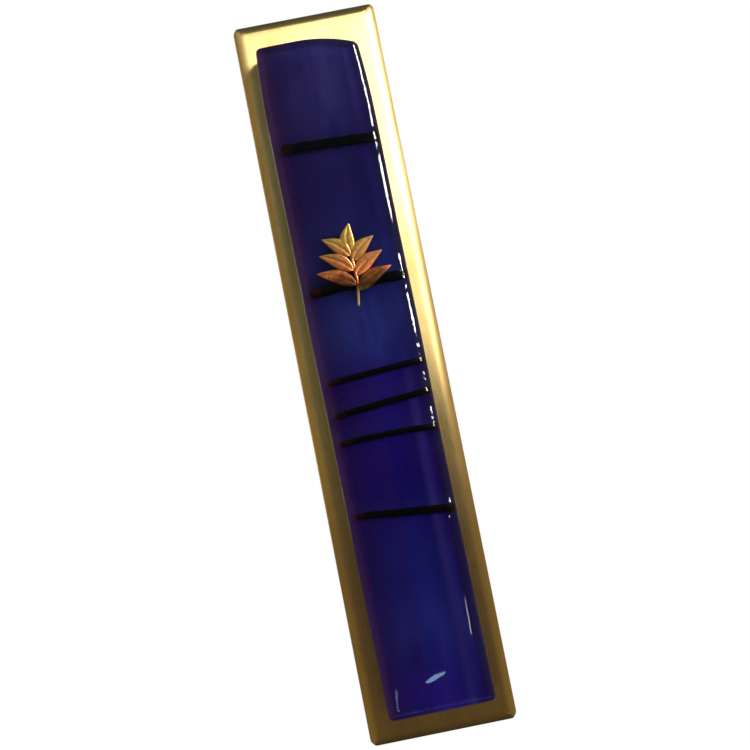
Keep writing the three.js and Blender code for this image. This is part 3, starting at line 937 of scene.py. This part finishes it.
def thread_piece(index, thread, material):
    """A thread that has slumped flat between the two sheets, a little uneven along its length."""
    _, _, _, width, height = thread
    rings, around = 46, 16
    x0, x1 = -GLASS_HALF_W + THREAD_LEFT, GLASS_HALF_W - THREAD_RIGHT
    middle = GLASS_SEAM + 0.5 * height + 0.1
    verts = []
    for i in range(rings + 1):
        t = i / rings
        x = lerp(x0, x1, t)
        end = min(1.0, math.sqrt(max(0.0, min(t, 1 - t) * 26)))
        z = thread_line(thread, x)
        z += 0.05 * uneven(x / 2.3, index * 3.1, 0)
        wobble = 1 + 0.10 * uneven(x / 1.7, 5.0, index * 2.3)
        grow = lerp(0.85, 1.12, t) if index == len(THREADS) else 1.0
        for k in range(around):
            a = 2 * math.pi * k / around
            half_w = 0.5 * width * wobble * end * grow + 0.004
            half_h = 0.5 * height * end + 0.004
            verts.append(on_bar(x, middle + half_h * math.sin(a), z + half_w * math.cos(a)))
    faces = quads(rings + 1, around, closed=True)
    faces.append(tuple(range(around - 1, -1, -1)))
    faces.append(tuple(range(rings * around, (rings + 1) * around)))
    name, node = f"thread_{index}", f"stringer_{index}"
    return make_piece(name, verts, faces, material, "case", [node])


# ---------------- emblem: a leafy sprig
SPRIG_Z = 18.3
SPRIG_HEIGHT = 14.7
LEAF_LONG, LEAF_WIDE = 7.4, 2.9
LUSTRE_GAP, STALK_HIGH = 0.015, 0.11


def sprig(material):
    """Three pairs of leaves and a tip on a stalk, laid on the glass as thin metal."""
    foot = -SPRIG_HEIGHT / 2
    verts, faces = [], []

    def leaf(x0, z0, length, degrees, mirrored=False):
        """A leaf from its stem to its tip: a thin shell with a groove along its middle."""
        along, across = 26, 10
        a = math.radians(degrees)
        start = len(verts)
        for side in (0, 1):
            for i in range(along + 1):
                t = i / along
                half = 0.5 * LEAF_WIDE * (math.sin(math.pi * t**0.82) ** 0.9) * (1 - 0.25 * t) + 0.03
                curl = 0.5 * math.sin(math.pi * t) - 0.15
                for j in range(across + 1):
                    s = 2 * j / across - 1
                    u = length * t
                    v = s * half + curl
                    x = u * math.cos(a) - v * math.sin(a)
                    z = u * math.sin(a) + v * math.cos(a)
                    if mirrored:
                        x = -x
                    x, z = x0 + x, z0 + z + SPRIG_Z
                    rib = math.exp(-((s * half / 0.16) ** 2)) * min(1, (1 - t) * 5)
                    lift = LUSTRE_GAP + side * (0.10 - 0.06 * rib + 0.04 * (1 - s * s))
                    verts.append(on_glass(x, z, lift))
        n = across + 1
        faces.extend(quads(along + 1, n, start=start))
        top = start + (along + 1) * n
        faces.extend(quads(along + 1, n, start=top, flip=True))
        rim = [i * n for i in range(along + 1)]
        rim += [along * n + j for j in range(1, n)]
        rim += [i * n + across for i in range(along - 1, -1, -1)]
        rim += [j for j in range(across - 1, 0, -1)]
        for p, q in zip(rim, rim[1:] + rim[:1]):
            faces.append((start + p, start + q, top + q, top + p))

    for i in range(3):
        z = foot + SPRIG_HEIGHT * (0.2 + 0.18 * i)
        length, degrees = LEAF_LONG - 0.75 * i, 26 + 7 * i
        leaf(0.2, z, length, degrees)
        leaf(0.3, z + 0.07 * SPRIG_HEIGHT, length, degrees, mirrored=True)
    leaf(0.1, foot + 0.66 * SPRIG_HEIGHT, 0.36 * SPRIG_HEIGHT, 82)
    stalk_in(verts, faces, foot)
    return make_piece("leafy_sprig", verts, faces, material, "case", ["emblem"])


def stalk_in(verts, faces, foot):
    """The stalk: a tapering half-round ridge with a slight bend."""
    steps, around = 30, 8
    start = len(verts)
    for i in range(steps + 1):
        t = i / steps
        z = foot + t * 0.74 * SPRIG_HEIGHT
        x = 0.55 * math.sin(math.pi * t) - 0.2 * (1 - t)
        half = lerp(0.20, 0.30, math.sin(math.pi * t))
        for k in range(around + 1):
            a = math.pi * k / around
            px, pz = x + half * math.cos(a), z + SPRIG_Z
            verts.append(on_glass(px, pz, LUSTRE_GAP + STALK_HIGH * math.sin(a)))
    n = around + 1
    faces.extend(quads(steps + 1, n, closed=True, start=start))
    faces.append(tuple(range(start + n - 1, start - 1, -1)))
    faces.append(tuple(range(start + steps * n, start + (steps + 1) * n)))


# ---------------- screws, clips and roll
def sharpen(piece, degrees=35):
    """Shades smoothly except across edges that turn by more than an angle."""
    piece.data.shade_smooth()
    piece.data.set_sharp_from_angle(angle=math.radians(degrees))


def carve(piece, x, rear, front, z_low, z_high):
    """Cuts a rectangular groove, x to each side of the middle, out of a piece for good."""
    corners = [point(sx * x, d, z) for sx in (-1, 1) for d in (rear, front) for z in (z_low, z_high)]
    mesh = bpy.data.meshes.new("groove")
    sides = [(0, 1, 3, 2), (4, 6, 7, 5), (0, 4, 5, 1), (2, 3, 7, 6), (0, 2, 6, 4), (1, 5, 7, 3)]
    mesh.from_pydata(corners, [], sides)
    cutter = bpy.data.objects.new("groove", mesh)
    bpy.context.collection.objects.link(cutter)
    modifier = piece.modifiers.new("groove", "BOOLEAN")
    modifier.object = cutter
    modifier.operation = "DIFFERENCE"
    modifier.solver = "EXACT"
    graph = bpy.context.evaluated_depsgraph_get()
    carved = bpy.data.meshes.new_from_object(piece.evaluated_get(graph))
    piece.modifiers.clear()
    piece.data = carved
    bpy.data.objects.remove(cutter)


THREAD_PITCH = 1.0
THREAD_DEEP = 0.3
SLOT_HALF, SLOT_DEEP = 0.35, 0.55


def wood_screw(end, material):
    """A slotted countersunk screw: a turned head and neck, then a thread that winds to the tip."""
    node = f"screw_{end}"
    low, high = box_mm(node)
    head, tip, z0 = -low.y, -high.y, (low.z + high.z) / 2
    head_r, thread_r = high.x, 0.56 * high.x
    neck, point_long, around, finest = -1.0, 2.6, 32, 0.08
    rings = [(head_r - 0.25, head), (head_r - 0.06, head - 0.05), (head_r, head - 0.13)]
    cone_end = head - 0.1 - (head_r - thread_r)
    rings += [(lerp(head_r, thread_r, t / 4), lerp(head - 0.16, cone_end, t / 4)) for t in range(1, 5)]
    rings += [(thread_r, neck)]
    verts = [(0, head, z0)]
    for r, depth in rings:
        for k in range(around):
            a = 2 * math.pi * k / around
            verts.append((r * math.cos(a), depth, z0 + r * math.sin(a)))
    count = int((neck - tip) / finest)
    for i in range(1, count):
        depth = lerp(neck, tip, i / count)
        taper = min(1.0, ((depth - tip) / point_long) ** 0.7)
        start = min(1.0, i / 12)
        for k in range(around):
            a = 2 * math.pi * k / around
            phase = (depth / THREAD_PITCH - k / around) % 1.0
            ridge = max(0.0, 1 - abs(phase - 0.5) / 0.24)
            r = taper * (thread_r - THREAD_DEEP * start * (1 - ridge))
            verts.append((r * math.cos(a), depth, z0 + r * math.sin(a)))
    verts.append((0, tip, z0))
    loops = (len(verts) - 2) // around
    faces = quads(loops, around, closed=True, start=1)
    faces += [(0, 1 + (k + 1) % around, 1 + k) for k in range(around)]
    last = 1 + (loops - 1) * around
    faces += [(len(verts) - 1, last + k, last + (k + 1) % around) for k in range(around)]
    name = f"wood_screw_{end}"
    piece = make_piece(name, verts, faces, material, "wall_mount", [node])
    carve(piece, head_r + 1, head - SLOT_DEEP, head + 1, z0 - SLOT_HALF, z0 + SLOT_HALF)
    sharpen(piece)
    return piece


CLIP_RADIUS = 4.55
CLIP_THICK = 0.35
CLIP_EDGE = 0.05
CLIP_JOIN, CLIP_GRIP = 50, 126


def smoother(line, times=2):
    """Cuts the corners of an open line, so that its bends become round."""
    for _ in range(times):
        inner = []
        for a, b in zip(line, line[1:]):
            inner.append((lerp(a[0], b[0], 0.25), lerp(a[1], b[1], 0.25)))
            inner.append((lerp(a[0], b[0], 0.75), lerp(a[1], b[1], 0.75)))
        line = [line[0]] + inner[1:-1] + [line[-1]]
    return line


def spring_clip(end, material):
    """A bent spring strip: a flat base, two arms round the roll, and turned-out ends."""
    node = f"clip_{end}"
    low, high = box_mm(node)
    axis_depth, _, _ = upright_tube("parchment_scroll")
    base = -low.y - CLIP_THICK / 2
    z0, half = (low.z + high.z) / 2, (high.z - low.z) / 2

    def on(degrees):
        a = math.radians(degrees)
        return (CLIP_RADIUS * math.sin(a), axis_depth + CLIP_RADIUS * math.cos(a))

    x, depth = on(CLIP_JOIN)
    bend_x = x - (base - depth) / math.tan(math.radians(CLIP_JOIN))
    arm = [(0.5 * bend_x, base), (bend_x, base)]
    arm += [on(lerp(CLIP_JOIN, CLIP_GRIP, k / 12)) for k in range(13)]
    arm.append((arm[-1][0] + 0.42, arm[-1][1] - 1.05))
    arm = smoother(arm)
    line = [(-x, d) for x, d in reversed(arm)] + arm
    across = 10
    verts = []
    for i, (x, d) in enumerate(line):
        before, after = line[max(i - 1, 0)], line[min(i + 1, len(line) - 1)]
        run = math.hypot(after[0] - before[0], after[1] - before[1])
        out = ((after[1] - before[1]) / run, -(after[0] - before[0]) / run)
        from_end = min(i, len(line) - 1 - i)
        span = half * (1 - 0.16 * max(0.0, 1 - from_end / 5) ** 2)
        for side in (0.5, -0.5):
            shift = side * CLIP_THICK
            for k in range(across + 1):
                z = z0 + span * lerp(-1, 1, k / across)
                verts.append((x + out[0] * shift, d + out[1] * shift, z))
    n = across + 1
    faces = []
    for i in range(len(line) - 1):
        a, b = i * 2 * n, (i + 1) * 2 * n
        for k in range(across):
            faces.append((a + k, a + k + 1, b + k + 1, b + k))
            faces.append((a + n + k, b + n + k, b + n + k + 1, a + n + k + 1))
        for k in (0, across):
            faces.append((a + k, b + k, b + n + k, a + n + k))
    for a in (0, (len(line) - 1) * 2 * n):
        faces += [(a + k, a + k + 1, a + n + k + 1, a + n + k) for k in range(across)]
    name = f"spring_clip_{end}"
    piece = make_piece(name, verts, faces, material, "case", [node])
    sharpen(piece)
    bevel(piece, CLIP_EDGE)
    return piece


ROLL_TURNS = 5.3
ROLL_CORE = 2.0
SHEET_THICK = 0.17


def rolled_parchment(material):
    """A thin sheet rolled into a spiral, its turns standing out unevenly at both ends."""
    depth0, outer, half = upright_tube("parchment_scroll")
    around, rows = 260, 36
    verts = []
    for j in range(around + 1):
        turn = ROLL_TURNS * j / around
        a = 2 * math.pi * turn
        wave = 0.05 * uneven(turn * 2.2, 0.0, 4.0)
        r = lerp(ROLL_CORE, outer - 0.16, j / around) + wave
        stand = 0.45 * (0.5 + uneven(turn * 0.9, 7.0, 0.0))
        for i in range(rows + 1):
            share = i / rows
            z = lerp(-half + max(0.05, stand), half - max(0.05, 0.45 - stand), share)
            sway = 0.03 * uneven(turn * 1.3, 2.0, z / 9)
            verts.append(((r + sway) * math.cos(a), depth0 - (r + sway) * math.sin(a), z))
    faces = quads(around + 1, rows + 1)
    piece = make_piece(
        "rolled_parchment", verts, faces, material, "scroll", ["parchment_scroll"]
    )
    thick = piece.modifiers.new("sheet", "SOLIDIFY")
    thick.thickness = SHEET_THICK * MM
    thick.offset = 0
    return piece


def film_sleeve(material):
    """A clear film tube, a little wavy, with its two ends trimmed not quite square."""
    depth0, outer, half = upright_tube("scroll_sleeve")
    around, rows = 72, 60
    verts = []
    for skin in (0.01, 0.17):
        for i in range(rows + 1):
            for k in range(around):
                a = 2 * math.pi * k / around
                z = lerp(-half, half, i / rows) * (1 - 0.002 * (1 + math.sin(a)))
                swell = 0.03 * uneven(2 * math.cos(a), 2 * math.sin(a), z / 7)
                r = outer - skin - max(0.0, swell)
                verts.append((r * math.cos(a), depth0 + r * math.sin(a), z))
    shell = (rows + 1) * around
    faces = quads(rows + 1, around, closed=True)
    faces += quads(rows + 1, around, closed=True, start=shell, flip=True)
    for row in (0, rows * around):
        for k in range(around):
            a, b = row + k, row + (k + 1) % around
            faces.append((a, b, shell + b, shell + a))
    name, node = "film_sleeve", "scroll_sleeve"
    return make_piece(name, verts, faces, material, "scroll", [node])


# ---------------- pieces kept close to the CAD
def refined(node, name, material, body, width):
    """A piece with the CAD node's shape, its flats merged and its edges eased."""
    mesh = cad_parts[node].data.copy()
    mesh.name = name
    nearly_flat = math.radians(1.0)
    with editing(mesh) as bm:
        bmesh.ops.remove_doubles(bm, verts=bm.verts, dist=0.002 * MM)
        bmesh.ops.dissolve_limit(bm, angle_limit=nearly_flat, verts=bm.verts, edges=bm.edges)
        bmesh.ops.recalc_face_normals(bm, faces=bm.faces)
    for polygon in mesh.polygons:
        polygon.material_index = 0
    piece = add_piece(name, mesh, material, body, [node])
    sharpen(piece, 32)
    bevel(piece, width)
    return piece


# ---------------- assembly
def glints_on(glass):
    """Small lamps that only the polished glass catches."""
    shiny = bpy.data.collections.new("shiny")
    shiny.objects.link(glass)
    side_lamp("foot_glint", 42, -12, -4, 0.20, 26, "ELLIPSE", shiny)
    mirrored_lamp("low_glint", 8.1, -46, (0.0028, 0.025), 30, WHITE_LAMP, -4, shiny)
    pale = (0.45, 0.68, 1.0)
    mirrored_lamp("front_glint", -0.3, -55.4, (0.032, 0.0042), 9, pale, 12, shiny)
    mirrored_lamp("left_glint", -7.6, -57.8, (0.003, 0.014), 4, pale, -10, shiny)
    mirrored_lamp("left_spark", -8.0, -60.4, (0.007, 0.012), 5, pale, 20, shiny)
    soft_light("bottom_glint", 0, -50, 0.4, (0.30, 0.05), 1.6, pale, shiny)


def main():
    view = bpy.context.scene.view_settings
    view.view_transform = "Standard"
    view.look = "None"
    place_camera()
    build_world()
    build_floor()
    build_card()
    side_lamp("window_top", 38, 45, 74, 0.15, 31)
    side_lamp("window_middle", 38, 25, 43.5, 0.20, 33, "ELLIPSE")
    side_lamp("window_sill", 38, 4.5, 10.5, 0.20, 32, "ELLIPSE")
    soft_light("back_left", 152, 28, 0.7, (0.30, 0.45), 2.2, WHITE_LAMP)
    soft_light("back_right", 212, 10, 0.7, (0.25, 0.45), 1.2, (0.95, 0.97, 1.0))

    satin, plate, spring, screw = case_brass(), plate_brass(), spring_brass(), screw_brass()
    case_sheet(satin)
    glass_core(cobalt_core())
    glass = glass_skin(cobalt_glass())
    glints_on(glass)
    black = black_glass()
    for index, thread in enumerate(THREADS, 1):
        thread_piece(index, thread, black)
    sprig(gold_lustre())
    refined("back_plate", "hanging_plate", plate, "wall_mount", 0.12)
    for end in ("upper", "lower"):
        wood_screw(end, screw)
        spring_clip(end, spring)
        refined(f"clip_rivet_{end}", f"rivet_{end}", spring, "case", 0.05)
    silicone_bed(silicone())
    rolled_parchment(parchment())
    film_sleeve(clear_film())


main()
